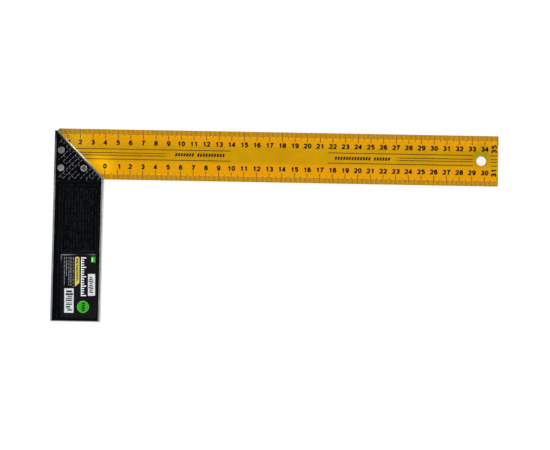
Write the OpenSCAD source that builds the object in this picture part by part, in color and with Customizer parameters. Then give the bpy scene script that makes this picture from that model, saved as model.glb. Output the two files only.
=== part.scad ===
// Fixed try and mitre square: a yellow scale blade riveted into a metal stock with two black covers.
// The origin is the inner corner, where the blade's lower edge meets the stock's inner working face,
// at the level of the stock's back. +X runs along the blade, -Y down the stock, +Z out of the front.

/* [Blade] */
// Length of the blade's inner edge, from the stock's inner face to the free end
blade_reach = 311.5; // [161.5:10:561.5]
// Width of the blade
blade_w = 40; // [30:1:50]
// Thickness of the blade
blade_t = 1.2; // [0.8:0.1:2]
// Radius of the hanging hole near the free end
hang_hole_r = 3.75; // [2:0.25:6]
// Distance from the hanging hole's centre to the free end
hang_hole_end = 13.5; // [8:0.5:20]

/* [Stock] */
// Width of the stock, from outer face to inner face
stock_w = 39; // [36:1:50]
// Length of the stock's inner working face below the blade
stock_reach = 113; // [93:5:183]
// Thickness of the stock
stock_t = 12; // [10:0.5:18]
// Width of the bare metal rim round each cover
rim_w = 1.3; // [0.8:0.1:2.5]
// Width of the bevel along the mitre's edges
mitre_bevel = 0.9; // [0.5:0.1:2]
// How far above the blade's lower edge the mitre starts
mitre_start = 1.5; // [0:0.5:3]
// How far the stock's blunt tip stays below the blade's top edge
tip_drop = 2.2; // [1:0.1:4]
// Thickness of the metal web that the blade is let into
web_t = 4; // [3:0.5:6]

/* [Covers] */
// Gap between a cover and the rim round it
cover_gap = 0.1; // [0.05:0.05:0.3]
// How far the textured head of a cover lies below the rim
head_drop = 0.3; // [0.1:0.1:0.6]
// Height of the step between the head and the lower part
head_step = 0.3; // [0.1:0.1:0.6]
// Distance from the blade's top edge down to that step
head_l = 42.5; // [40:0.5:60]
// Depth of the panel sunk in the lower part
panel_depth = 0.35; // [0.2:0.05:0.6]
// Wall thickness of a cover
cover_wall = 1.6; // [1:0.1:2.2]
// Spacing of the fine upright ribs in the panel
rib_pitch = 2.3; // [2:0.1:5]

/* [Rivets] */
// Radius of a rivet's shank
rivet_r = 1.8; // [1.2:0.1:2.2]
// Radius of a rivet's head
rivet_head_r = 2.65; // [2.6:0.05:4]
// Thickness of a rivet's head
rivet_head_t = 0.9; // [0.5:0.1:1.2]

/* [Label] */
// Width of the label
label_w = 27.6; // [15:0.1:28]
// Height of the label
label_h = 49.4; // [20:0.1:52]
// Angle that the label is stuck on askew by
label_turn = 1.2; // [-1.4:0.1:1.4]
// Thickness of the label's film
label_t = 0.12; // [0.1:0.02:0.2]

/* [Hidden] */
$fn = 64;
eps = 0.01;
past = 1;
mid_z = stock_t / 2;
blade_z = mid_z - blade_t / 2;
web_top = mid_z + web_t / 2;
tip_y = blade_w - tip_drop;
head_z = stock_t - head_drop;
body_z = head_z - head_step;
panel_z = body_z - panel_depth;
step_y = blade_w - head_l;
mitre_inset = rim_w + mitre_bevel;
bottom_y = -stock_reach;
// Smallest flat left at a blunt tip
tip_flat = 0.4;
// How far the covers' foot and the web inside it stop short of the frame's rim
cover_short = 0.4;
web_short = 2.6;
// The tang ends inside the stock, with its upper corner cut off
tang_end = 37.2;
tang_corner = 1.4;
slot_gap = 0.05;
// Relief at the inner corner, so that only the face below the blade guides the work
relief = 0.2;
// Rivet centres: distance from the outer face and below the blade's top edge
rivet_column = 5.4;
rivet_row = 32;
rivet_places = [
    [rivet_column, 17.9],
    [rivet_column, rivet_row],
    [23.5, rivet_row]
];
hole_gap = 0.05;
head_gap = 0.12;
head_dish_r = 1.9;
head_dish = 0.15;
// Panel in the lower part of a cover: its margins from the outer face, inner face, step and foot
panel_left = 5.2;
panel_right = 2.9;
panel_top = 2.9;
panel_foot = 2.4;
// Ribbed field sunk in the panel: its margin, extra depth, and the ribs in it
field_margin = 2.4;
field_depth = 0.15;
rib_w = 0.8;
rib_h = 0.12;
// Label's place in the front panel: its middle from the inner face, and its upper edge from the step
label_middle = 17.6;
label_drop = 57.5;
label_corner = 1;
label_y = step_y - label_drop - label_h / 2;
// Hollows in a cover's underside, between its cross ribs
hollow_rows = 5;
hollow_margin = 4;

// Height at which the mitre's line, moved inwards, crosses x = 0
function mitre_level(mitre) = mitre_start - mitre * sqrt(2);

// Height of the blunt tip: at most top, and low enough to leave it a small flat
function tip_level(side, mitre, top) = min(top, mitre_level(mitre) + stock_w - side - tip_flat);

// Outline of the stock or of anything that follows it: insets from the sides and from the mitre,
// and the heights of the bottom and of the blunt tip
function stock_outline(side, mitre, bottom, top) =
    let (tip = tip_level(side, mitre, top))
    [
        [-stock_w + side, bottom],
        [-side, bottom],
        [-side, side + mitre_level(mitre)],
        [mitre_level(mitre) - tip, tip],
        [-stock_w + side, tip]
    ];

function rivet_xy(i) = [rivet_places[i][0] - stock_w, blade_w - rivet_places[i][1]];

module block(low, high) {
    translate(low) cube(high - low);
}

module at_rivets() {
    for (i = [0 : len(rivet_places) - 1])
        translate(rivet_xy(i)) children();
}

// Turns something made for the front face over to the back face
module turned_to_back() {
    translate([0, 0, stock_t]) mirror([0, 0, 1]) children();
}

module blade() {
    color("gold")
    translate([0, 0, blade_z])
    difference() {
        linear_extrude(blade_t)
            polygon([
                [-tang_end, 0],
                [blade_reach, 0],
                [blade_reach, blade_w],
                [tang_corner - tang_end, blade_w],
                [-tang_end, blade_w - tang_corner]
            ]);
        translate([blade_reach - hang_hole_end, blade_w / 2, -past])
            cylinder(h = blade_t + 2 * past, r = hang_hole_r);
        at_rivets()
            translate([0, 0, -past]) cylinder(h = blade_t + 2 * past, r = rivet_r + hole_gap);
    }
}

// Recess for a cover, open at the bottom of the stock and cut through past the end of the web
module cover_recess() {
    translate([0, 0, web_top])
        linear_extrude(stock_t)
            polygon(stock_outline(rim_w, mitre_inset, bottom_y - past, tip_y - rim_w));
    block([rim_w - stock_w, bottom_y - past, -past], [-rim_w, bottom_y + web_short, web_top + past]);
}

// Wedge that bevels the mitre's front edge
module mitre_edge_cut() {
    translate([0, mitre_start, 0])
        rotate([0, 0, 45])
            rotate([90, 0, 0])
                linear_extrude(4 * stock_w, center = true)
                    polygon([
                        [-mitre_bevel, stock_t],
                        [past, stock_t - mitre_bevel - past],
                        [past, stock_t + past],
                        [-mitre_bevel, stock_t + past]
                    ]);
}

module stock_frame() {
    color("silver")
    difference() {
        linear_extrude(stock_t)
            polygon(stock_outline(0, 0, bottom_y, tip_y));
        cover_recess();
        turned_to_back() cover_recess();
        mitre_edge_cut();
        turned_to_back() mitre_edge_cut();
        block([-tang_end - slot_gap, 0, blade_z], [past + stock_w, blade_w + past, blade_z + blade_t]);
        block([-relief, 0, -past], [past, blade_w, stock_t + past]);
        at_rivets() cylinder(h = stock_t, r = rivet_r + hole_gap);
    }
}

// One hollow under a cover, in its row of the lower part
module cover_hollow(row) {
    span = step_y - bottom_y - 2 * hollow_margin;
    pitch = span / hollow_rows;
    low = bottom_y + hollow_margin + row * pitch;
    block(
        [-stock_w + hollow_margin, low, web_top - past],
        [-hollow_margin, low + pitch - cover_wall, panel_z - cover_wall]
    );
}

// Sunk field of fine upright ribs, cut and filled by turns, from field_foot up to the panel's top
module ribbed_field(field_foot) {
    left = -stock_w + panel_left + field_margin;
    right = -panel_right - field_margin;
    head = step_y - panel_top - field_margin;
    difference() {
        block([left, field_foot, panel_z - field_depth], [right, head, panel_z + past]);
        for (x = [left + rib_pitch : rib_pitch : right - rib_w - cover_gap])
            block(
                [x, field_foot - past, panel_z - field_depth - past],
                [x + rib_w, head + past, panel_z - field_depth + rib_h]
            );
    }
}

// Moulded cover for the front face, with a ribbed field in its panel down to field_foot
module cover(field_foot) {
    side = rim_w + cover_gap;
    foot = bottom_y + cover_short;
    difference() {
        union() {
            translate([0, 0, web_top])
                linear_extrude(head_z - web_top)
                    polygon(stock_outline(side, mitre_inset + cover_gap, foot, tip_y - side));
            block(
                [-stock_w + side, foot, mid_z],
                [-side, bottom_y + web_short - cover_gap, web_top + eps]
            );
        }
        block([-stock_w, bottom_y - past, body_z], [past, step_y, head_z + past]);
        block(
            [-stock_w + panel_left, foot + panel_foot, panel_z],
            [-panel_right, step_y - panel_top, body_z + past]
        );
        ribbed_field(field_foot);
        at_rivets() {
            cylinder(h = stock_t, r = rivet_r + hole_gap);
            translate([0, 0, stock_t - rivet_head_t])
                cylinder(h = stock_t, r = rivet_head_r + head_gap);
        }
        for (row = [0 : hollow_rows - 1])
            cover_hollow(row);
    }
}

module front_cover() {
    color("dimgray")
        cover(label_y + label_h / 2 + field_margin);
}

module rear_cover() {
    color("dimgray")
        turned_to_back() cover(bottom_y + cover_short + panel_foot + field_margin);
}

// Solid rivet with a shallow dish in each head, flush with the metal rim on both faces
module rivet(i) {
    color("lightsteelblue")
    translate(rivet_xy(i))
    difference() {
        union() {
            cylinder(h = stock_t, r = rivet_r);
            cylinder(h = rivet_head_t, r = rivet_head_r);
            translate([0, 0, stock_t - rivet_head_t])
                cylinder(h = rivet_head_t, r = rivet_head_r);
        }
        translate([0, 0, stock_t - head_dish]) cylinder(h = past, r = head_dish_r);
        translate([0, 0, head_dish - past]) cylinder(h = past, r = head_dish_r);
    }
}

module label() {
    color("black")
    translate([-label_middle, label_y, panel_z])
        rotate([0, 0, label_turn])
            difference() {
                translate([-label_w / 2, -label_h / 2, 0])
                    cube([label_w, label_h, label_t]);
                for (side = [-1, 1])
                    for (end = [-1, 1])
                        translate([side * label_w / 2, end * label_h / 2, -past])
                            rotate([0, 0, 45])
                                cube([label_corner, label_corner, 4 * past], center = true);
            }
}

blade();
stock_frame();
front_cover();
rear_cover();
rivet(0);  // rivet_top
rivet(1);  // rivet_outer
rivet(2);  // rivet_inner
label();
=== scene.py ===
import math
import random

import bmesh
import bpy
from mathutils import Matrix, Vector


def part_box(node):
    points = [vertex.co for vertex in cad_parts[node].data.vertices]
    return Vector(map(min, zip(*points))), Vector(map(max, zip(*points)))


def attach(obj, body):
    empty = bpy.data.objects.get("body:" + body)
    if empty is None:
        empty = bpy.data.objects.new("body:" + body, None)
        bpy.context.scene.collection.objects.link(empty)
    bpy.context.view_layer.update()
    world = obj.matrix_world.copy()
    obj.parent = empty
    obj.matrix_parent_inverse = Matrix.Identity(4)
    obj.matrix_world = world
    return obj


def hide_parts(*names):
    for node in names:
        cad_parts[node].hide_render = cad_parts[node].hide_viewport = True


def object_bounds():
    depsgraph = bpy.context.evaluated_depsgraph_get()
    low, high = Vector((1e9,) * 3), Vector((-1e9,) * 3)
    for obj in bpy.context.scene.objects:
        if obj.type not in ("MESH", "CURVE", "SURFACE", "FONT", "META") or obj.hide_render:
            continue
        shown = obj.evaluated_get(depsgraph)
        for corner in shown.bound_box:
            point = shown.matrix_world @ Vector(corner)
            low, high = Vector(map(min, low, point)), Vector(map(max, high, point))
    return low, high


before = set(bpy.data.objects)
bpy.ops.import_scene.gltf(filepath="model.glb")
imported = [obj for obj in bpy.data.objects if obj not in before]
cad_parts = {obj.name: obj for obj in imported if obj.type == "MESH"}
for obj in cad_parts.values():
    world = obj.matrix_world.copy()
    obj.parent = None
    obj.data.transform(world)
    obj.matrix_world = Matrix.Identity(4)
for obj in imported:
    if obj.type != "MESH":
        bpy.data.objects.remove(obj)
cad_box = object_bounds()

# Looks for a fixed try and mitre square. It lies on its back: +X runs along the blade,
# -Y down the stock and +Z out of the front. Everything is in metres.
MM = 0.001

# ---- Places, from the frame ----
blade_low, blade_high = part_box("blade")
stock_low, stock_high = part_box("stock_frame")
cover_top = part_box("front_cover")[1].z
label_low, label_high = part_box("label")
blade_w = blade_high.y - blade_low.y
stock_t = stock_high.z
RIVETS = ("rivet_top", "rivet_outer", "rivet_inner")
rivet_spots = [((low + high) / 2).xy for low, high in map(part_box, RIVETS)]
rivet_head_r = (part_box(RIVETS[0])[1].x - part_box(RIVETS[0])[0].x) / 2

# ---- Sizes that the frame doesn't give ----
# Broken edges: how wide they are, and the share of a narrow face that they may take
bevel_metal = 0.12 * MM
bevel_cover = 0.28 * MM
bevel_share = 0.35
weld = 0.002 * MM
merge_angle = math.radians(0.5)
sharp_angle = math.radians(35)

# The mitre: the way square to it, outwards, the least part of a normal that counts as facing
# that way, and the height at which it starts on the stock's inner side
MITRE_WAY = (math.sqrt(0.5), math.sqrt(0.5), 0)
least_facing = 0.4
mitre_start = 1.5 * MM

# Print on the blade: from just under the lacquer to just over it, and its gap from the mitre
ink_low = -0.01 * MM
ink_high = 0.025 * MM
print_clear = 0.15 * MM
# How much of the tang's upper corner is cut off
tang_corner = 1.4 * MM

# Scales: their zeros along the blade and their last numbers
zero_upper = -39.2 * MM
zero_lower = 0.8 * MM
last_upper = 35
last_lower = 31

# Graduations: their widths, their lengths and their gaps from the blade's edge and its ends
tick_w = 0.38 * MM
tick_cm_w = 0.45 * MM
tick_mm = 4.2 * MM
tick_half = 5.2 * MM
tick_cm = 7.6 * MM
tick_inset = 0.15 * MM
tick_clear = 0.4 * MM

# Numbers: the stroke's width, the unit of the digits' grid, the step to the next digit, and the
# size of the upright numbers at the blade's end next to the others
digit_stroke = 1.08 * MM
digit_unit = 1.0 * MM
digit_step = 3.2 * MM
digit_end_scale = 1.1
# The rows' heights, the upright numbers' place, and how far the first number stands past its line
row_upper = 29.45 * MM
row_lower = 10.6 * MM
end_number_x = 308.1 * MM
one_shift = 1.2 * MM
# A stroke's corner reaches out by at most half its width over this
least_corner = 0.45

# Four lines along the blade: their width, the height midway between them, how far the outer and
# the inner pair lie from it, and how long an inner line's pointed end is
line_w = 0.53 * MM
line_mid = 20.3 * MM
line_outer = 4.05 * MM
line_inner = 1.0 * MM
line_point = 6.0 * MM
# Where they stop for the plain part of the blade, start again, and break off at the hanging hole
outer_stop = 100 * MM
inner_stop = 51 * MM
outer_start = 177 * MM
inner_start = 229 * MM
hole_left = 291.5 * MM
hole_right = 305.4 * MM
lines_end = 310.6 * MM

# Hatch in the two gaps of the lines. Each is from start to end along the blade, with a break at
# gap and its middle at a height, in millimetres.
HATCHES = ((57, 95.7, 71.9, 20.7), (183.4, 225.4, 212.2, 20.2))
hatch_h = 2.5 * MM
hatch_slant = 0.8 * MM
hatch_w = 1.4 * MM
hatch_pitch = 2.2 * MM
hatch_break = 0.75 * hatch_pitch

# Grip on the covers' heads: raised pads in rows along the mitre
pad_length = 2.5 * MM
pad_width = 2.15 * MM
pad_height = 0.2 * MM
pad_root = 0.15 * MM
pad_clear = 0.25 * MM
pad_pitch = 3.25 * MM
# How far a pad's sides lean in: the long slope, the slope of a worn end, and the steep sides
pad_slope = 0.36 * MM
pad_end_slope = 0.8 * pad_slope
pad_steep = 0.12 * MM
pad_worn_share = 0.5
# The field of pads: its rows, the places in a row, where they start, and its margins
grip_rows = 12
grip_columns = range(-2, 20)
first_row = 3.3 * MM
row_start = -1.35 * MM
grip_from_outer = 3.6 * MM
grip_from_step = 1.0 * MM
grip_from_mitre = 2.7 * MM
grip_below_tip = 6.0 * MM
# Height of the step between a cover's head and its lower part
step_y = -2.5 * MM

# Rivets: the shank, the head's thickness, the two depths of dish in a head, and the share of a
# head's radius that counts as its dish
rivet_shank_r = 1.8 * MM
rivet_head_t = 0.9 * MM
rivet_dish = 0.12 * MM
rivet_deep_dish = 0.28 * MM
dish_share = 0.73
# Steps round a circle
round_steps = 48

# Label: its size, how far along its edges the corners are cut, and how far it is turned
label_w = 27.6 * MM
label_h = 49.4 * MM
label_cut = 0.7 * MM
label_turn = math.radians(1.2)
label_mid = (label_low + label_high).xy / 2
# The film's grid, across and down
film_columns = 60
film_rows = 110
# Print on the label: from just under the film's surface, and the height of a layer
print_low = -0.01 * MM
print_high = 0.02 * MM
# The label's inks, fresh and faded
INKS = {
    "white": ((0.76, 0.77, 0.79), (0.6, 0.6, 0.63)),
    "pale": ((0.52, 0.54, 0.56), (0.38, 0.39, 0.42)),
    "yellow": ((0.47, 0.42, 0.07), (0.38, 0.31, 0.035)),
    "green": ((0.016, 0.30, 0.003), (0.012, 0.21, 0.003)),
    "rim": ((0.10, 0.36, 0.09), (0.07, 0.26, 0.06)),
    "grey": ((0.24, 0.26, 0.275), (0.08, 0.085, 0.095)),
    "dark": ((0.004, 0.004, 0.005), (0.015, 0.014, 0.016)),
}

# How far the label's upper edge and its outer side below the corner have lifted, how far in and
# down that reaches, the length of its wave along the edge, and how sharply the film curls
edge_lift = 0.72 * MM
edge_reach = 1.45 * MM
side_lift = 0.6 * MM
side_reach = 1.45 * MM
side_length = 8.0 * MM
lift_wave = 33.0 * MM
lift_curl = 1.2

# ---- Camera, floor and light ----
# The camera: its distance, its lens in millimetres, its tilt about X, Y and Z, and its shift
camera_distance = 2.4
camera_lens = 199.08
camera_tilt = Vector((math.radians(-4.9), math.radians(-1.3), math.radians(-1.075)))
camera_offset = Vector((0.12, 2.88, 0)) * MM
floor_half = 9.0
floor_place = (0.13, 0, -0.05 * MM)
# Light from the surroundings by the sine of its height: 0 at the horizon, 1 straight above
WORLD_BANDS = ((0.0, 0.4), (0.35, 0.42), (0.5, 1.0), (0.75, 1.0), (0.87, 0.03), (1.0, 0.015))
world_strength = 2.7


def add_camera():
    """Camera nearly square above the front, far away so that the stock's sides look thin."""
    low, high = cad_box
    turn = (
        Matrix.Rotation(camera_tilt.z, 3, "Z")
        @ Matrix.Rotation(camera_tilt.y, 3, "Y")
        @ Matrix.Rotation(camera_tilt.x, 3, "X")
    )
    facing = turn.transposed()
    place = (low + high) / 2 + facing @ (camera_offset + Vector((0, 0, camera_distance)))
    data = bpy.data.cameras.new("camera")
    data.lens = camera_lens
    data.sensor_width = 36
    data.clip_start = 0.1
    data.clip_end = 50
    camera = bpy.data.objects.new("camera", data)
    camera.matrix_world = Matrix.Translation(place) @ facing.to_4x4()
    bpy.context.scene.collection.objects.link(camera)
    bpy.context.scene.camera = camera


# ---- Shader node helpers ----
def fill_ramp(ramp, stops):
    """Sets a new colour ramp to grey stops of (place, value), the first at 0 and the last at 1."""
    ramp.elements[0].color = (stops[0][1],) * 3 + (1,)
    ramp.elements[1].color = (stops[-1][1],) * 3 + (1,)
    for place, value in stops[1:-1]:
        ramp.elements.new(place).color = (value,) * 3 + (1,)


class Graph:
    """A material and short ways to add and join its nodes."""

    def __init__(self, name):
        self.material = bpy.data.materials.new(name)
        self.material.use_nodes = True
        self.tree = self.material.node_tree
        self.shader = self.tree.nodes["Principled BSDF"]
        self.place = self.node("ShaderNodeTexCoord").outputs["Object"]

    def node(self, kind, **settings):
        """A new node with some of its settings."""
        made = self.tree.nodes.new(kind)
        for name, value in settings.items():
            setattr(made, name, value)
        return made

    def join(self, source, target):
        """Links an output to an input."""
        self.tree.links.new(source, target)

    def set(self, **values):
        """Sets the shader's own sockets, named with underscores for spaces."""
        for name, value in values.items():
            self.shader.inputs[name.replace("_", " ")].default_value = value

    def noise(self, scale, detail=3.0, stretch=(1, 1, 1), roughness=0.55):
        """Noise with scale features in a metre, drawn out along an axis where stretch is small."""
        spread = self.node("ShaderNodeMapping")
        spread.inputs["Scale"].default_value = stretch
        self.join(self.place, spread.inputs["Vector"])
        made = self.node("ShaderNodeTexNoise")
        made.inputs["Scale"].default_value = scale
        made.inputs["Detail"].default_value = detail
        made.inputs["Roughness"].default_value = roughness
        self.join(spread.outputs["Vector"], made.inputs["Vector"])
        return made.outputs["Fac"]

    def remap(self, source, low, high, to_low=0.0, to_high=1.0):
        """Takes low to to_low and high to to_high, and holds what lies past them."""
        made = self.node("ShaderNodeMapRange")
        made.inputs["From Min"].default_value = low
        made.inputs["From Max"].default_value = high
        made.inputs["To Min"].default_value = to_low
        made.inputs["To Max"].default_value = to_high
        self.join(source, made.inputs["Value"])
        return made.outputs["Result"]

    def profile(self, stops):
        """A value that changes along Y through (height in millimetres, value) stops."""
        parts = self.node("ShaderNodeSeparateXYZ")
        self.join(self.place, parts.inputs["Vector"])
        first, last = stops[0][0], stops[-1][0]
        along = self.remap(parts.outputs["Y"], first * MM, last * MM)
        made = self.node("ShaderNodeValToRGB")
        placed = [((height - first) / (last - first), value) for height, value in stops]
        fill_ramp(made.color_ramp, placed)
        self.join(along, made.inputs["Fac"])
        return made.outputs["Color"]

    def near(self, x, y, inner, outer):
        """1 within inner of a place in plan, falling to 0 at outer, all in millimetres."""
        flat = self.node("ShaderNodeVectorMath", operation="MULTIPLY")
        flat.inputs[1].default_value = (1, 1, 0)
        self.join(self.place, flat.inputs[0])
        gap = self.node("ShaderNodeVectorMath", operation="DISTANCE")
        gap.inputs[1].default_value = (x * MM, y * MM, 0)
        self.join(flat.outputs["Vector"], gap.inputs[0])
        return self.remap(gap.outputs["Value"], inner * MM, outer * MM, 1, 0)

    def toward(self, direction, start, end):
        """0 at start and 1 at end, in millimetres along a direction."""
        made = self.node("ShaderNodeVectorMath", operation="DOT_PRODUCT")
        made.inputs[1].default_value = direction
        self.join(self.place, made.inputs[0])
        return self.remap(made.outputs["Value"], start * MM, end * MM)

    def upright(self):
        """1 on upright faces, 0 on those that face up or down."""
        flat = self.node("ShaderNodeNewGeometry")
        parts = self.node("ShaderNodeSeparateXYZ")
        self.join(flat.outputs["True Normal"], parts.inputs["Vector"])
        return self.maths("SUBTRACT", 1.0, self.maths("ABSOLUTE", parts.outputs["Z"], 0.0))

    def maths(self, operation, a, b):
        """A sum, product or the like of two numbers or sockets."""
        made = self.node("ShaderNodeMath", operation=operation)
        for socket, value in zip(made.inputs, (a, b)):
            if isinstance(value, (int, float)):
                socket.default_value = value
            else:
                self.join(value, socket)
        return made.outputs["Value"]

    def blend(self, factor, a, b):
        """Colour a where factor is 0 and b where it is 1. a and b are colours or sockets."""
        made = self.node("ShaderNodeMix", data_type="RGBA")
        self.join(factor, made.inputs[0])
        for socket, value in ((made.inputs[6], a), (made.inputs[7], b)):
            if isinstance(value, tuple):
                socket.default_value = (*value, 1.0)
            else:
                self.join(value, socket)
        return made.outputs[2]

    def lay(self, over, colour, factor, share=None):
        """Lays a tint over a colour by a factor, of which share is taken where it is given."""
        if share is not None:
            factor = self.maths("MULTIPLY", factor, share)
        return self.blend(factor, colour, over)

    def edges(self, radius):
        """1 at the edges that stand out or in within radius, 0 on the flats."""
        rounded = self.node("ShaderNodeBevel", samples=6)
        rounded.inputs["Radius"].default_value = radius
        flat = self.node("ShaderNodeNewGeometry")
        dot = self.node("ShaderNodeVectorMath", operation="DOT_PRODUCT")
        self.join(rounded.outputs["Normal"], dot.inputs[0])
        self.join(flat.outputs["Normal"], dot.inputs[1])
        return self.remap(dot.outputs["Value"], 1.0, 0.93)

    def bump(self, height, distance, strength=1.0, under=None):
        """A normal that a height shapes over the one under it."""
        made = self.node("ShaderNodeBump")
        made.inputs["Strength"].default_value = strength
        made.inputs["Distance"].default_value = distance
        self.join(height, made.inputs["Height"])
        if under is not None:
            self.join(under, made.inputs["Normal"])
        return made.outputs["Normal"]

    def finish(self, colour=None, roughness=None, metallic=None, normal=None):
        """Joins what is given to the shader and hands back the material."""
        sockets = (
            ("Base Color", colour),
            ("Roughness", roughness),
            ("Metallic", metallic),
            ("Normal", normal),
        )
        for name, source in sockets:
            if source is not None:
                self.join(source, self.shader.inputs[name])
        return self.material


# ---- Materials ----
def lacquer_colour(g):
    """Yellow, duller along the middle and paler under the scales, with patches, painted light beside
    the mitre and darker blotches round the hanging hole.
    """
    bands = ((0, 0.9), (4, 1), (13, 0.9), (16, 0), (27, 0), (30, 0.8), (34, 1), (40, 0.8))
    scales = ((0, 1), (4.2, 1), (5.4, 0), (34.6, 0), (35.8, 1), (40, 1))
    tone = g.remap(g.noise(55, 4.0, roughness=0.6), 0.38, 0.62)
    speck = g.remap(g.noise(900, 4.0), 0.35, 0.65)
    hole_darkening = g.maths("MULTIPLY", g.near(298.5, 25, 4, 11), g.remap(g.noise(260, 3.0), 0.25, 0.6))
    colour = g.blend(g.profile(bands), (0.36, 0.19, 0.0006), (0.53, 0.218, 0.0008))
    colour = g.lay((0.46, 0.24, 0.0010), colour, tone, 0.5)
    colour = g.lay((0.555, 0.27, 0.008), colour, g.profile(scales), 0.9)
    # Painted light beside the mitre, as if thrown onto the blade by its bright wall: a strong yellow
    # pool low down and a paler, duller one higher up
    colour = g.lay((0.72, 0.36, 0.0010), colour, g.near(-4, 9, 5, 15))
    colour = g.lay((0.47, 0.275, 0.009), colour, g.near(-23, 29, 5, 15), 0.8)
    colour = g.lay((0.40, 0.16, 0.0006), colour, speck, 0.16)
    # A darker olive patch with a dark spot in it, at the blade's upper corner
    colour = g.lay((0.36, 0.25, 0.04), colour, g.near(-36, 39.5, 2, 7), 0.8)
    colour = g.lay((0.07, 0.035, 0.012), colour, g.near(-37, 39.6, 0.6, 2.0))
    # Darker blotches round the hanging hole
    return g.lay((0.21, 0.165, 0.003), colour, hole_darkening, 0.8)


def lacquer_material():
    """Yellow lacquer over steel, worn through to bare metal along the edges."""
    g = Graph("yellow_lacquer")
    g.set(Coat_Weight=0.05, Coat_Roughness=0.12, Specular_IOR_Level=0.14)
    chipped = g.remap(g.noise(650, 5.0, roughness=0.7), 0.50, 0.58)
    worn = g.maths("MULTIPLY", g.edges(0.35 * MM), chipped)
    colour = g.lay((0.30, 0.28, 0.25), lacquer_colour(g), worn)
    scuffs = g.noise(260, 4.0, stretch=(0.06, 1, 1))
    rough = g.remap(scuffs, 0.35, 0.7, 0.24, 0.34)
    peel = g.bump(g.noise(420, 2.0), 0.02 * MM, 0.5)
    normal = g.bump(scuffs, 0.012 * MM, 0.4, under=peel)
    return g.finish(colour, rough, g.maths("MULTIPLY", worn, 0.9), normal)


def ink_material():
    """Dark brown-black printing ink, a little rubbed."""
    g = Graph("scale_ink")
    g.set(Specular_IOR_Level=0.2)
    rubbed = g.remap(g.noise(1500, 3.0), 0.5, 0.85)
    colour = g.blend(rubbed, (0.004, 0.0015, 0.0006), (0.03, 0.012, 0.002))
    rough = g.remap(g.noise(700, 3.0), 0.3, 0.7, 0.4, 0.55)
    return g.finish(colour, rough, normal=g.bump(rubbed, 0.006 * MM, 0.5))


def scaled(colour, share):
    """A colour made darker or lighter."""
    return tuple(share * part for part in colour)


def ground_metal_material(name, grain, dark, light, rough, sheen_and_tone_profile=None, shade_and_dark_tint=None, cover_shade=False):
    """Ground light alloy with fine grain and pits, darkened by a tint where a profile along the height
    is
    low: painted light and shade, and on the frame its black tip. If asked, also painted shade on the
    rim along the cover's edge beside the mitre."""
    g = Graph(name)
    g.set(Metallic=1.0)
    lines = g.noise(1500, 4.0, stretch=grain, roughness=0.65)
    patches = g.remap(g.noise(45, 3.0), 0.35, 0.7)
    blotches = g.remap(g.noise(520, 3.0), 0.45, 0.62)
    colour = g.blend(g.remap(lines, 0.3, 0.7), dark, light)
    colour = g.lay(scaled(dark, 0.6), colour, patches, 0.35)
    colour = g.lay(scaled(dark, 0.5), colour, blotches, 0.4)
    colour = g.lay(scaled(light, 1.5), colour, g.edges(0.3 * MM), 0.35)
    # Painted light and shade along the height: the metal's own colour where the profile is 1 and the
    # dark tint where it is 0, with upright faces kept at least 0.3 of the way
    if sheen_and_tone_profile is not None:
        shown = g.maths("MAXIMUM", g.profile(sheen_and_tone_profile), g.maths("MULTIPLY", g.upright(), 0.3))
        colour = g.blend(shown, shade_and_dark_tint, colour)
    # Painted shade on the rim along the cover's edge beside the mitre
    if cover_shade:
        beside = g.maths("MULTIPLY", g.toward(MITRE_WAY, -0.3, -1.1), g.toward(MITRE_WAY, -3.5, -2.5))
        beside = g.maths("MULTIPLY", beside, g.profile(((1, 0), (3, 1), (36, 1), (40, 1))))
        colour = g.lay(shade_and_dark_tint, colour, beside, 0.8)
    roughness = g.remap(lines, 0.3, 0.7, *rough)
    pits = g.remap(g.noise(2600, 2.0), 0.62, 0.72)
    normal = g.bump(lines, 0.01 * MM, 0.6)
    normal = g.bump(pits, -0.01 * MM, 0.5, under=normal)
    return g.finish(colour, roughness, normal=normal)


def turned_metal_material(name, dark, light):
    """The same metal on a rivet, with grain that runs no special way."""
    return ground_metal_material(name, grain=(1, 1, 1), dark=dark, light=light, rough=(0.36, 0.5))


def moulding_material(name, specular, rubbed_and_highlight_tone):
    """Black moulded plastic with a fine spark-eroded grain, greyer along the edges: partly rubbed
    wear, partly a painted highlight.
    """
    g = Graph(name)
    g.set(Specular_IOR_Level=specular)
    grain = g.noise(3200, 3.0, roughness=0.6)
    smudges = g.remap(g.noise(60, 4.0, roughness=0.65), 0.35, 0.7)
    colour = g.blend(smudges, (0.0006, 0.0010, 0.0014), (0.0014, 0.0019, 0.0024))
    # Greyer edges: rubbed wear and a painted highlight along them
    rubbed = g.maths("MULTIPLY", g.edges(0.35 * MM), g.remap(g.noise(500, 4.0), 0.42, 0.62))
    colour = g.lay(rubbed_and_highlight_tone, colour, rubbed)
    rough = g.remap(smudges, 0.0, 1.0, 0.36, 0.28)
    normal = g.bump(grain, 0.02 * MM, 0.3)
    scratches = g.remap(g.noise(700, 5.0, stretch=(1, 0.05, 1)), 0.62, 0.75)
    normal = g.bump(scratches, -0.012 * MM, 0.4, under=normal)
    return g.finish(colour, rough, normal=normal)


def rubbed_material():
    """The same plastic, greyed in broken streaks as a painted highlight on the pads' lit slopes,
    fading towards the tip.
    """
    g = Graph("pad_highlight_moulding")
    g.set(Specular_IOR_Level=0.6)
    highlight_streaks = g.remap(g.noise(420, 4.0, roughness=0.65), 0.38, 0.6)
    highlight_streaks = g.maths("MULTIPLY", highlight_streaks, g.profile(((-3, 0.9), (17, 1), (24, 0.45), (36, 0.3))))
    colour = g.blend(highlight_streaks, (0.004, 0.004, 0.0045), (0.135, 0.135, 0.14))
    rough = g.remap(highlight_streaks, 0.0, 1.0, 0.3, 0.45)
    return g.finish(colour, rough, normal=g.bump(g.noise(3200, 3.0), 0.02 * MM, 0.3))


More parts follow.
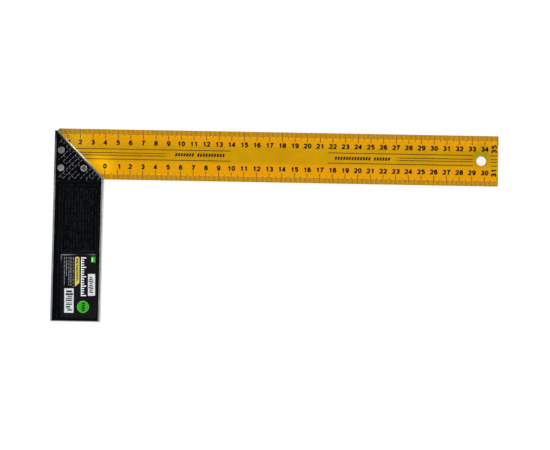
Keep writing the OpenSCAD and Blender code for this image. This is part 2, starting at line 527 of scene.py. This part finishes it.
def film_material():
    """Glossy black film of the label, with a painted highlight along its edges and a pale painted
    glare, broken up, where its edge has lifted.
    """
    g = Graph("label_film")
    g.set(Coat_Weight=0.3, Coat_Roughness=0.1, Specular_IOR_Level=0.25)
    mottle = g.remap(g.noise(220, 3.0), 0.3, 0.7)
    colour = g.blend(mottle, (0.003, 0.0028, 0.0034), (0.006, 0.0055, 0.007))
    # Painted highlight along the film's edges
    colour = g.lay((0.03, 0.03, 0.035), colour, g.edges(0.3 * MM), 0.5)
    lifted = g.toward((0, 0, 1), label_high.z / MM + 0.1, label_high.z / MM + 0.6)
    # Painted glare on the lifted part, broken up by noise
    lifted_glare = g.maths("MULTIPLY", lifted, g.remap(g.noise(500, 3.0), 0.25, 0.6))
    colour = g.lay((0.10, 0.10, 0.104), colour, lifted_glare)
    rough = g.remap(g.noise(90, 3.0), 0.3, 0.7, 0.16, 0.28)
    return g.finish(colour, rough, normal=g.bump(g.noise(160, 2.0), 0.03 * MM, 0.4))


def print_material(name, colour, faded):
    """Coloured print on the label, with uneven ink."""
    g = Graph(name)
    g.set(Coat_Weight=0.2, Coat_Roughness=0.1, Specular_IOR_Level=0.35)
    uneven = g.remap(g.noise(1100, 4.0), 0.35, 0.75)
    tint = g.blend(uneven, colour, faded)
    rough = g.remap(g.noise(300, 3.0), 0.3, 0.7, 0.22, 0.4)
    return g.finish(tint, rough, normal=g.bump(uneven, 0.004 * MM, 0.5))


def floor_material():
    """Pale table that gives off light of its own, so that shadows on it stay faint."""
    g = Graph("floor")
    g.set(Roughness=0.9, Specular_IOR_Level=0.1, Emission_Strength=0.86)
    g.set(Emission_Color=(1, 1, 1, 1))
    tone = g.remap(g.noise(3, 2.0), 0.3, 0.7)
    return g.finish(g.blend(tone, (0.15, 0.15, 0.15), (0.17, 0.17, 0.169)))


# ---- Mesh helpers ----
def add_piece(name, mesh, slot, *materials):
    """A new piece in the row frame that rides on the one body."""
    piece = bpy.data.objects.new(name, mesh)
    bpy.context.scene.collection.objects.link(piece)
    for material in materials:
        mesh.materials.append(material)
    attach(piece, "root")
    return piece


def mesh_from(bm, name):
    """Closes a bmesh into a mesh with its normals outwards and its sharp edges marked."""
    bmesh.ops.recalc_face_normals(bm, faces=bm.faces)
    mesh = bpy.data.meshes.new(name)
    bm.to_mesh(mesh)
    bm.free()
    mesh.shade_smooth()
    mesh.set_sharp_from_angle(angle=sharp_angle)
    return mesh


def narrow(face):
    """About the narrow side of a face."""
    return 2 * face.calc_area() / sum(edge.calc_length() for edge in face.edges)


def weigh_edges(bm, width):
    """Weighs sharp edges for the bevel: full between broad faces, less beside narrow ones."""
    weights = bm.edges.layers.float.new("bevel_weight_edge")
    for edge in bm.edges:
        if len(edge.link_faces) == 2 and edge.calc_face_angle(0) > sharp_angle:
            room = min(narrow(face) for face in edge.link_faces)
            edge[weights] = min(1.0, bevel_share * room / width)


def add_softening(piece, width):
    """Breaks a piece's edges with a small bevel."""
    bevel = piece.modifiers.new("broken_edges", "BEVEL")
    bevel.width = width
    bevel.segments = 2
    bevel.limit_method = "WEIGHT"
    bevel.miter_outer = "MITER_ARC"
    bevel.use_clamp_overlap = True
    bevel.harden_normals = True


def show_mitre(piece, bevel_material, wall_material):
    """Gives the mitre's walls and the bevels along its edges materials of their own."""
    piece.data.materials.append(bevel_material)
    piece.data.materials.append(wall_material)
    for polygon in piece.data.polygons:
        if min(polygon.normal.x, polygon.normal.y) > least_facing:
            polygon.material_index = 1 if abs(polygon.normal.z) > least_facing else 2


def softened_copy(node, name, slot, material, width):
    """A CAD node's own shape with merged flats and broken edges, shown in its place."""
    bm = bmesh.new()
    bm.from_mesh(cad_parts[node].data)
    bmesh.ops.remove_doubles(bm, verts=bm.verts, dist=weld)
    bmesh.ops.dissolve_limit(
        bm, angle_limit=merge_angle, verts=bm.verts, edges=bm.edges, delimit={"NORMAL"}
    )
    weigh_edges(bm, width)
    piece = add_piece(name, mesh_from(bm, name), slot, material)
    add_softening(piece, width)
    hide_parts(node)
    return piece


def add_prism(bm, outline, low, high):
    """A closed solid: an outline in plan between two heights."""
    count = len(outline)
    under = [bm.verts.new((x, y, low)) for x, y in outline]
    over = [bm.verts.new((x, y, high)) for x, y in outline]
    bm.faces.new(under[::-1])
    bm.faces.new(over)
    for i in range(count):
        j = (i + 1) % count
        bm.faces.new((under[i], under[j], over[j], over[i]))


def add_block(bm, x, y, low, high):
    """A closed box over the spans x and y."""
    add_prism(bm, [(x[0], y[0]), (x[1], y[0]), (x[1], y[1]), (x[0], y[1])], low, high)


def place_on_face(bm, facing, level):
    """Moves what was made round height 0 out to a face: 1 in front, -1 turned to the back."""
    bmesh.ops.scale(bm, verts=bm.verts, vec=(1, 1, facing))
    bmesh.ops.translate(bm, verts=bm.verts, vec=(0, 0, level))


def trim(bm, point, outwards):
    """Cuts off what lies past a plane and closes the cuts."""
    geometry = bm.verts[:] + bm.edges[:] + bm.faces[:]
    bmesh.ops.bisect_plane(
        bm, geom=geometry, dist=1e-7, plane_co=point, plane_no=outwards, clear_outer=True
    )
    open_edges = [edge for edge in bm.edges if edge.is_boundary]
    bmesh.ops.holes_fill(bm, edges=open_edges, sides=0)


def offset_point(points, i, closed, half):
    """Left and right edge points of a stroke at its point i, with a mitred corner."""
    count = len(points)
    here = points[i]
    before = points[i - 1] if closed or i > 0 else here
    after = points[(i + 1) % count] if closed or i < count - 1 else here
    into = (here - before).normalized() if here != before else (after - here).normalized()
    out = (after - here).normalized() if after != here else into
    way = (into + out).normalized()
    side = Vector((-way.y, way.x))
    reach = half / max(least_corner, side.dot(Vector((-into.y, into.x))))
    return here + side * reach, here - side * reach


def add_stroke(bm, points, width, low, high, closed=False):
    """A flat closed solid along a line of points, like a pen's stroke."""
    count = len(points)
    rings = []
    for i in range(count):
        left, right = offset_point(points, i, closed, width / 2)
        rings.append([
            bm.verts.new((*left, low)),
            bm.verts.new((*right, low)),
            bm.verts.new((*right, high)),
            bm.verts.new((*left, high)),
        ])
    for i in range(count if closed else count - 1):
        here, there = rings[i], rings[(i + 1) % count]
        for k in range(4):
            bm.faces.new((here[k], here[(k + 1) % 4], there[(k + 1) % 4], there[k]))
    if not closed:
        bm.faces.new(rings[0][::-1])
        bm.faces.new(rings[-1])


# ---- Digits ----
def arc(x, y, rx, ry, start, end, steps=14):
    """Points on an ellipse's arc, in degrees."""
    turns = [math.radians(start + (end - start) * i / steps) for i in range(steps + 1)]
    return [(x + rx * math.cos(t), y + ry * math.sin(t)) for t in turns]


def loop(x, y, rx, ry):
    """Points all round an ellipse, without the first one again."""
    return arc(x, y, rx, ry, 0, 342, 19)


# Each digit's strokes as (closed, points), on a grid from -1 to 1 across and -1.5 to 1.5 up.
# Straight ends run on to 1.84, because the other strokes reach past the grid by half their width.
bowl = arc(0, -0.56, 0.98, 0.94, 146, -152)
hook = arc(0.04, 0, 1.02, 1.5, 205, 42)
DIGITS = {
    "0": [(True, loop(0, 0, 0.98, 1.5))],
    "1": [(False, [(0.3, -1.84), (0.3, 1.84)]), (False, [(-0.75, 0.85), (-0.1, 0.98), (0.12, 1.3)])],
    "2": [(False, arc(0, 0.6, 0.93, 0.9, 172, -32) + [(-0.95, -1.5), (1.15, -1.5)])],
    "3": [
        (False, arc(0, 0.76, 0.86, 0.74, 158, -80) + [(-0.35, 0.03)]),
        (False, [(-0.2, 0.05)] + arc(0, -0.72, 0.98, 0.78, 76, -156)),
    ],
    "4": [(False, [(0.42, -1.84), (0.42, 1.84)]), (False, [(0.35, 1.5), (-0.95, -0.7), (1.15, -0.7)])],
    "5": [(False, [(1.0, 1.5), (-0.6, 1.5), (-0.8, 0.0)]), (False, bowl)],
    "6": [(True, loop(0, -0.6, 0.98, 0.9)), (False, hook)],
    "7": [(False, [(-1.1, 1.5), (0.92, 1.5), (0.1, 0.2), (-0.3, -1.84)])],
    "8": [(True, loop(0, 0.77, 0.82, 0.73)), (True, loop(0, -0.72, 0.98, 0.78))],
}
DIGITS["9"] = [(closed, [(-x, -y) for x, y in points]) for closed, points in DIGITS["6"]]


def add_number(bm, text, centre, facing, upwards=False):
    """Prints a number centred on a point. facing is -1 for a face seen from behind."""
    scale = digit_end_scale if upwards else 1.0
    for i, digit in enumerate(text):
        along = (i - (len(text) - 1) / 2) * digit_step * scale
        for closed, points in DIGITS[digit]:
            placed = []
            for x, y in points:
                spot = Vector((x * digit_unit * scale + along, y * digit_unit * scale))
                if upwards:
                    spot = Vector((-spot.y, spot.x))
                placed.append(centre + Vector((spot.x * facing, spot.y)))
            add_stroke(bm, placed, digit_stroke, ink_low, ink_high, closed)


# ---- Blade ----
def tick_length(step):
    """Length of a graduation: longer at a half centimetre, longest at a whole one."""
    if step % 10 == 0:
        return tick_cm
    return tick_half if step % 5 == 0 else tick_mm


def add_ticks(bm, zero, edge, inwards):
    """Millimetre graduations from one edge inwards, from one end of the blade to the other."""
    first = math.ceil((blade_low.x + tick_clear - zero) / MM)
    for step in range(first, int((blade_high.x - tick_clear - zero) / MM) + 1):
        x = zero + step * MM
        half = (tick_cm_w if step % 10 == 0 else tick_w) / 2
        ends = sorted((edge + inwards * tick_inset, edge + inwards * tick_length(step)))
        add_block(bm, (x - half, x + half), ends, ink_low, ink_high)


def add_numbers(bm, facing):
    """Centimetre numbers under the upper scale and over the lower one."""
    rows = ((1, last_upper, zero_upper, row_upper), (0, last_lower, zero_lower, row_lower))
    for first, last, zero, y in rows:
        for number in range(first, last):
            x = zero + number * 10 * MM + (one_shift if number == 1 else 0)
            add_number(bm, str(number), Vector((x, y)), facing)
        add_number(bm, str(last), Vector((end_number_x, y)), facing, True)


def add_line(bm, y, start, end, taper=(0, 0)):
    """A thin line along the blade that may run out to a point at an end."""
    half = line_w / 2
    first, last = start + taper[0], end - taper[1]
    outline = [(first, y - half), (last, y - half)]
    if taper[1]:
        outline.append((end, y))
    outline += [(last, y + half), (first, y + half)]
    if taper[0]:
        outline.append((start, y))
    add_prism(bm, outline, ink_low, ink_high)


def add_lines(bm):
    """The four lines: next to the stock, along the outer half, and past the hanging hole."""
    for side in (-1, 1):
        outer = line_mid + side * line_outer
        inner = line_mid + side * line_inner
        add_line(bm, outer, stock_low.x, outer_stop)
        add_line(bm, inner, stock_low.x, inner_stop, (0, line_point))
        add_line(bm, outer, outer_start, hole_left)
        add_line(bm, inner, inner_start, hole_left, (line_point, 0))
        for y in (outer, inner):
            add_line(bm, y, hole_right, lines_end)


def add_hatch(bm, start, end, gap_at, y):
    """A plain slanted hatch in a gap of the lines, in two runs with a break between them."""
    reach = Vector((hatch_slant, hatch_h)) / 2
    for i in range(int((end - start) / hatch_pitch) + 1):
        middle = Vector((start + i * hatch_pitch, y))
        if abs(middle.x - gap_at) > hatch_break:
            add_stroke(bm, [middle - reach, middle + reach], hatch_w, ink_low, ink_high)


def add_print(name, material, facing):
    """Both scales, the lines and the hatch on one face of the blade: 1 in front, -1 behind."""
    bm = bmesh.new()
    add_ticks(bm, zero_upper, blade_w, -1)
    add_ticks(bm, zero_lower, 0.0, 1)
    add_numbers(bm, facing)
    add_lines(bm)
    for hatch in HATCHES:
        add_hatch(bm, *(value * MM for value in hatch))
    trim(bm, (mitre_start + print_clear, 0, 0), (-1, -1, 0))
    trim(bm, (blade_low.x + tang_corner + print_clear, blade_w, 0), (-1, 1, 0))
    place_on_face(bm, facing, blade_high.z if facing > 0 else blade_low.z)
    add_piece(name, mesh_from(bm, name), "scale_ink", material)


# ---- Grip on the covers ----
def pad_ring(bm, centre, across, along, insets, height):
    """Corners of a pad's outline, drawn in by the insets of its two ends and its two sides."""
    sizes = (pad_length, pad_length, pad_width, pad_width)
    end_a, end_b, side_a, side_b = (size / 2 - inset for size, inset in zip(sizes, insets))
    corners = ((-end_a, -side_a), (end_b, -side_a), (end_b, side_b), (-end_a, side_b))
    return [bm.verts.new((*(centre + across * a + along * b), height)) for a, b in corners]


def add_pad(bm, centre, across, along, worn):
    """A raised pad from a little under the surface, with a long slope on its outer side and,
    if worn, on one end too."""
    drawn_in = (pad_end_slope if worn else pad_steep, pad_steep, pad_steep, pad_slope)
    rings = [
        pad_ring(bm, centre, across, along, (0, 0, 0, 0), -pad_root),
        pad_ring(bm, centre, across, along, (0, 0, 0, 0), 0),
        pad_ring(bm, centre, across, along, drawn_in, pad_height),
    ]
    bm.faces.new(rings[0][::-1])
    bm.faces.new(rings[-1])
    for low, high in zip(rings, rings[1:]):
        for k in range(4):
            face = bm.faces.new((low[k], low[(k + 1) % 4], high[(k + 1) % 4], high[k]))
            # Slopes that take the second material get a painted highlight
            face.material_index = 1 if k == 2 or (worn and k == 3) else 0


def clear_of_rivets(centre, across, along):
    """Whether a pad stays clear of the rivets' heads."""
    for spot in rivet_spots:
        gap = spot - centre
        past_end = max(0.0, abs(gap.dot(across)) - pad_length / 2)
        past_side = max(0.0, abs(gap.dot(along)) - pad_width / 2)
        if math.hypot(past_end, past_side) < rivet_head_r + pad_clear:
            return False
    return True


def add_grip(name, facing, *materials):
    """Rows of pads over a cover's head, cut off along its sides."""
    bm = bmesh.new()
    across = Vector((1, 1)).normalized()
    along = Vector((-1, 1)).normalized()
    mitre = mitre_start / math.sqrt(2)
    outer_x = stock_low.x + grip_from_outer
    foot_y = step_y + grip_from_step
    dice = random.Random(3)
    for i in range(grip_rows):
        for j in grip_columns:
            centre = across * (mitre - first_row - i * pad_pitch) + along * (row_start + j * pad_pitch)
            inside = centre.x > outer_x and foot_y < centre.y < stock_high.y - grip_below_tip
            if inside and clear_of_rivets(centre, across, along):
                add_pad(bm, centre, across, along, dice.random() < pad_worn_share)
    trim(bm, (outer_x, 0, 0), (-1, 0, 0))
    trim(bm, (0, foot_y, 0), (0, -1, 0))
    trim(bm, across.to_3d() * (mitre - grip_from_mitre), across.to_3d())
    place_on_face(bm, facing, cover_top if facing > 0 else stock_t - cover_top)
    add_piece(name, mesh_from(bm, name), "black_moulding", *materials)


# ---- Rivets ----
def rivet_profile(head_r, low, high, dish):
    """Half a rivet's outline, as (radius, height), from the front dish round to the back one."""
    floor = high - dish
    head = [
        (0, floor - 0.05 * MM),
        (0.45 * MM, floor - 0.04 * MM),
        (0.65 * MM, floor),
        (0.7 * head_r, floor + 0.02 * MM),
        (0.8 * head_r, high - 0.03 * MM),
        (0.87 * head_r, high),
        (0.93 * head_r, high - 0.03 * MM),
        (0.98 * head_r, high - 0.14 * MM),
        (head_r, high - 0.32 * MM),
        (head_r, high - 0.85 * MM),
        (0.97 * head_r, high - rivet_head_t),
        (rivet_shank_r, high - rivet_head_t),
    ]
    return head + [(r, low + high - z) for r, z in head[::-1]]


def turn_profile(bm, centre, profile):
    """A closed solid turned round an upright axis from a profile that starts and ends on it."""
    turns = [2 * math.pi * k / round_steps for k in range(round_steps)]
    rings = [
        [bm.verts.new(centre + Vector((r * math.cos(t), r * math.sin(t), z))) for t in turns]
        for r, z in profile[1:-1]
    ]
    top, foot = (bm.verts.new(centre + Vector((0, 0, z))) for r, z in (profile[0], profile[-1]))
    for k in range(round_steps):
        m = (k + 1) % round_steps
        bm.faces.new((top, rings[0][k], rings[0][m]))
        for here, there in zip(rings, rings[1:]):
            bm.faces.new((here[k], there[k], there[m], here[m]))
        bm.faces.new((foot, rings[-1][m], rings[-1][k]))


def add_rivet(node, dish, *materials):
    """A rivet turned from its profile: a dished head with a rounded rim on both faces. Its
    second material, if any, is for the dishes."""
    low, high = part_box(node)
    head_r = (high.x - low.x) / 2
    centre = Vector(((low.x + high.x) / 2, (low.y + high.y) / 2, 0))
    bm = bmesh.new()
    turn_profile(bm, centre, rivet_profile(head_r, low.z, high.z, dish))
    for face in bm.faces:
        reach = (face.calc_center_median().xy - centre.xy).length
        if len(materials) > 1 and reach < dish_share * head_r:
            face.material_index = 1
    piece = add_piece(node + "_turned", mesh_from(bm, node), "rivet_metal", *materials)
    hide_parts(node)


# ---- Label ----
def on_label(x, y):
    """Place of a point that is x right and y down from the label's upper outer corner."""
    spot = Vector((x - label_w / 2, label_h / 2 - y))
    spot.rotate(Matrix.Rotation(label_turn, 2))
    return label_mid + spot


def film_lift(x, y):
    """How far the film stands off the panel: along its upper edge and down its outer side."""
    wave = math.sqrt(0.5 + 0.5 * math.cos(2 * math.pi * x / lift_wave))
    edge = edge_lift * wave * max(0.0, 1 - y / edge_reach) ** lift_curl
    side = side_lift * max(0.0, 1 - x / side_reach) ** lift_curl
    return max(edge, side * max(0.0, 1 - (y / side_length) ** 2))


def cut_corner(x, y):
    """Draws a point of the film in along the diagonal if it lies past a cut corner."""
    past = label_cut - min(x, label_w - x) - min(y, label_h - y)
    pull = max(0.0, past) / 2
    return x + math.copysign(pull, label_w / 2 - x), y + math.copysign(pull, label_h / 2 - y)


def film_layer(bm, base):
    """Rows of the film's points, from its upper edge down, over a height."""
    rows = []
    for j in range(film_rows + 1):
        y = label_h * j / film_rows
        row = []
        for i in range(film_columns + 1):
            x = label_w * i / film_columns
            row.append(bm.verts.new((*on_label(*cut_corner(x, y)), base + film_lift(x, y))))
        rows.append(row)
    return rows


def add_film(material):
    """The label's film as a thin closed sheet, lifted at its upper edge and outer side."""
    across, down = film_columns, film_rows
    bm = bmesh.new()
    under = film_layer(bm, label_low.z)
    over = film_layer(bm, label_high.z)
    for j in range(down):
        for i in range(across):
            for rows, turn in ((under, 1), (over, -1)):
                quad = [rows[j][i], rows[j][i + 1], rows[j + 1][i + 1], rows[j + 1][i]]
                bm.faces.new(quad[::turn])
    rim = [(i, 0) for i in range(across)] + [(across, j) for j in range(down)]
    rim += [(across - i, down) for i in range(across)] + [(0, down - j) for j in range(down)]
    for (i, j), (k, m) in zip(rim, rim[1:] + rim[:1]):
        bm.faces.new((under[j][i], under[m][k], over[m][k], over[j][i]))
    piece = add_piece("label_sheet", mesh_from(bm, "label_sheet"), "label_film", material)
    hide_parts("label")


class LabelPrint:
    """One colour of print on the label. Places are in millimetres from its upper outer corner,
    and a higher layer lies on the ones below it."""

    def __init__(self, ink):
        self.ink = ink
        self.bm = bmesh.new()

    def outline(self, points, layer=0):
        """Fills an outline."""
        placed = [on_label(x * MM, y * MM) for x, y in points]
        base = label_high.z + layer * print_high
        add_prism(self.bm, placed, base + print_low, base + print_high)

    def block(self, left, top, right, bottom, layer=0):
        """Fills a straight block."""
        self.outline([(left, top), (right, top), (right, bottom), (left, bottom)], layer)

    def disc(self, x, y, radius, layer=0):
        """Fills a disc."""
        turns = [2 * math.pi * i / round_steps for i in range(round_steps)]
        self.outline([(x + radius * math.cos(t), y + radius * math.sin(t)) for t in turns], layer)

    def dashes(self, x, width, top, bottom, longest, dice, layer=0):
        """A run of dashes down the label, in the place of a line of print."""
        y = top
        while y < bottom:
            run = dice.uniform(0.4 * longest, longest)
            self.block(x - width / 2, y, x + width / 2, min(y + run, bottom), layer)
            y += run + dice.uniform(0.35, 0.9)

    def done(self):
        """Makes the piece."""
        name = "label_" + self.ink
        material = print_material(self.ink + "_print", *INKS[self.ink])
        add_piece(name, mesh_from(self.bm, name), "label_print", material)


def print_small(inks, dice):
    """Rows of dashes for the small print: each one's place, width and end."""
    rows = ((2.9, 0.4, 24.5), (4.5, 0.6, 17), (6.5, 0.5, 25), (8.1, 0.55, 25), (9.9, 0.4, 25.6))
    for x, width, bottom in rows:
        inks["grey"].dashes(x, width, 2.3, bottom, 2.6, dice)


def print_flag(inks, dice):
    """Yellow flag with two dark dashed lines along it."""
    flag = [(11.3, 2.9), (12.1, 2.1), (14.0, 2.1), (14.8, 2.9), (14.8, 22.7), (11.3, 25.6)]
    inks["yellow"].outline(flag)
    for x in (12.6, 13.5):
        inks["dark"].dashes(x, 0.7, 3.4, 21.2, 2.0, dice, layer=1)


def print_ruler(inks):
    """White ruler in the place of a word: a spine with teeth, every fourth one longer."""
    left, root, short, long = 16.1, 16.5, 18.5, 20.1
    top, bottom, pitch, tooth = 2.6, 33.1, 1.86, 0.74
    comb = [(left, bottom), (left, top)]
    for i in range(17):
        reach = long if i % 4 == 0 else short
        y = top + i * pitch
        gap = [] if i == 0 else [(root, y)]
        comb += gap + [(reach, y), (reach, y + tooth), (root, y + tooth)]
    # The last tooth ends at the spine's end
    comb[-2:] = [(reach, bottom)]
    inks["white"].outline(comb)


def print_corner_mark(inks):
    """Green square with a white stripe."""
    inks["green"].block(24.0, 2.1, 27.3, 6.6)
    inks["white"].block(24.7, 2.8, 25.3, 5.9, layer=1)


def print_slanted_panel(inks):
    """Pale panel with cut corners and slanted dark strokes."""
    left, right, top, bottom, cut = 21.6, 27.2, 15.7, 32.9, 0.4
    inks["pale"].outline([
        (left, top + cut), (left + cut, top), (right - cut, top), (right, top + cut),
        (right, bottom - cut), (right - cut, bottom), (left + cut, bottom), (left, bottom - cut),
    ])
    for i in range(8):
        y = 17.6 + 1.65 * i
        reach = 1.0 + 0.45 * (i % 3)
        stroke = [(24 - reach, y), (24 + reach, y + 0.8), (24 + reach, y + 1.8), (24 - reach, y + 1)]
        inks["dark"].outline(stroke, layer=1)


def print_disc(inks):
    """Green disc with a paler rim and a column of dark marks."""
    inks["rim"].disc(17.7, 41.6, 4.7)
    inks["green"].disc(17.7, 41.6, 4.3, layer=1)
    for y in (39.0, 40.8, 42.6, 44.4):
        inks["dark"].block(16.9, y - 0.62, 19.1, y + 0.62, layer=2)


def print_bars(inks, dice):
    """Pale panel with plain bars of uneven width and length."""
    inks["pale"].block(3.0, 27.0, 10.3, 46.2)
    y = 28.6
    while y < 44.5:
        bar = dice.choice((0.5, 0.8, 1.1, 1.6))
        left = 4 + dice.choice((0, 0.4, 1.4))
        inks["dark"].block(left, y, 9.7 - dice.choice((0, 0.6, 2)), y + bar, layer=1)
        y += bar + dice.choice((0.4, 0.6, 0.8))


def add_label_print():
    """Generic print: dashes for text, a ruler, plain panels, bars and a disc, and no lettering."""
    dice = random.Random(5)
    inks = {ink: LabelPrint(ink) for ink in INKS}
    print_small(inks, dice)
    print_flag(inks, dice)
    print_ruler(inks)
    print_corner_mark(inks)
    print_slanted_panel(inks)
    print_disc(inks)
    print_bars(inks, dice)
    for ink in inks.values():
        ink.done()


# ---- Stage ----
def add_floor():
    """A broad flat table just under the square."""
    bm = bmesh.new()
    bmesh.ops.create_grid(bm, x_segments=8, y_segments=8, size=floor_half)
    mesh = bpy.data.meshes.new("floor")
    bm.to_mesh(mesh)
    bm.free()
    mesh.materials.append(floor_material())
    floor = bpy.data.objects.new("floor", mesh)
    floor.location = floor_place
    bpy.context.scene.collection.objects.link(floor)


def add_sun(name, azimuth, elevation, strength, softness):
    """Even light from one direction: azimuth from +X towards +Y, in degrees."""
    data = bpy.data.lights.new(name, "SUN")
    data.energy = strength
    data.angle = math.radians(softness)
    lamp = bpy.data.objects.new(name, data)
    a, e = math.radians(azimuth), math.radians(elevation)
    back = Vector((math.cos(a) * math.cos(e), math.sin(a) * math.cos(e), math.sin(e)))
    lamp.rotation_mode = "QUATERNION"
    lamp.rotation_quaternion = back.to_track_quat("Z", "Y")
    bpy.context.scene.collection.objects.link(lamp)


def add_world():
    """Pale surroundings: a bright band all round, dim straight above where the camera is."""
    world = bpy.data.worlds.new("studio")
    world.use_nodes = True
    tree = world.node_tree
    place = tree.nodes.new("ShaderNodeTexCoord")
    parts = tree.nodes.new("ShaderNodeSeparateXYZ")
    tone = tree.nodes.new("ShaderNodeValToRGB")
    fill_ramp(tone.color_ramp, WORLD_BANDS)
    tree.links.new(place.outputs["Generated"], parts.inputs["Vector"])
    tree.links.new(parts.outputs["Z"], tone.inputs["Fac"])
    back = tree.nodes["Background"]
    back.inputs["Strength"].default_value = world_strength
    tree.links.new(tone.outputs["Color"], back.inputs["Color"])
    bpy.context.scene.world = world


# ---- The scene ----
add_camera()
add_world()
add_floor()
add_sun("key", azimuth=45, elevation=13, strength=0.9, softness=20)
bpy.context.scene.view_settings.view_transform = "Standard"

lacquer = lacquer_material()
ink = ink_material()
# Painted shade on the rim, darker up the head; at the tip the dark tint gives the black that the tip
# has
frame_metal = ground_metal_material(
    "ground_rim",
    grain=(1, 0.05, 1),
    dark=(0.42, 0.42, 0.43),
    light=(0.68, 0.68, 0.69),
    rough=(0.32, 0.46),
    sheen_and_tone_profile=((-8, 1), (4, 0.45), (28, 0.4), (33, 0.0)),
    shade_and_dark_tint=(0.03, 0.03, 0.033),
    cover_shade=True,
)
# The bevels' cream tint is a painted reflection of the yellow blade, and the profile paints a
# highlight along the middle of the mitre, dark brown towards both ends
mitre_metal = ground_metal_material(
    "mitre_edge",
    grain=(0.3, 0.3, 1),
    dark=(0.36, 0.33, 0.22),
    light=(0.50, 0.47, 0.33),
    rough=(0.25, 0.35),
    sheen_and_tone_profile=((4, 0.1), (10, 0.1), (17, 1), (27, 1), (30, 0.6), (33, 0.02), (38, 0.02)),
    shade_and_dark_tint=(0.10, 0.07, 0.035),
)
# The wall's profile paints a highlight along its middle, going brownish dark towards both ends
wall_metal = ground_metal_material(
    "mitre_wall",
    grain=(0.3, 0.3, 1),
    dark=(0.7, 0.7, 0.69),
    light=(0.88, 0.88, 0.86),
    rough=(0.25, 0.4),
    sheen_and_tone_profile=((2, 0.3), (8, 0.55), (14, 0.95), (20, 1), (29, 1), (34, 0.4), (38, 0.3)),
    shade_and_dark_tint=(0.16, 0.13, 0.09),
)
dull_rivet_metal = turned_metal_material("dull_rivet", (0.18, 0.185, 0.19), (0.30, 0.31, 0.32))
rivet_metal = turned_metal_material("satin_rivet", (0.25, 0.255, 0.26), (0.40, 0.41, 0.42))
dish_metal = turned_metal_material("dark_dish", (0.11, 0.107, 0.115), (0.18, 0.175, 0.185))
moulding = moulding_material("black_moulding", 0.05, (0.032, 0.033, 0.036))
grip_moulding = moulding_material("grip_moulding", 0.05, (0.003, 0.003, 0.0035))
pad_highlight_moulding = rubbed_material()
film = film_material()

softened_copy("blade", "scale_blade", "blade_lacquer", lacquer, bevel_metal)
stock = softened_copy("stock_frame", "stock_body", "bare_metal", frame_metal, bevel_metal)
show_mitre(stock, mitre_metal, wall_metal)
softened_copy("front_cover", "cover_front", "black_moulding", moulding, bevel_cover)
softened_copy("rear_cover", "cover_rear", "black_moulding", moulding, bevel_cover)
add_print("scale_print_front", ink, 1)
add_print("scale_print_back", ink, -1)
add_grip("grip_front", 1, grip_moulding, pad_highlight_moulding)
add_grip("grip_rear", -1, grip_moulding, pad_highlight_moulding)
add_rivet("rivet_top", rivet_dish, dull_rivet_metal)
add_rivet("rivet_outer", rivet_dish, rivet_metal)
add_rivet("rivet_inner", rivet_deep_dish, dull_rivet_metal, dish_metal)
add_film(film)
add_label_print()
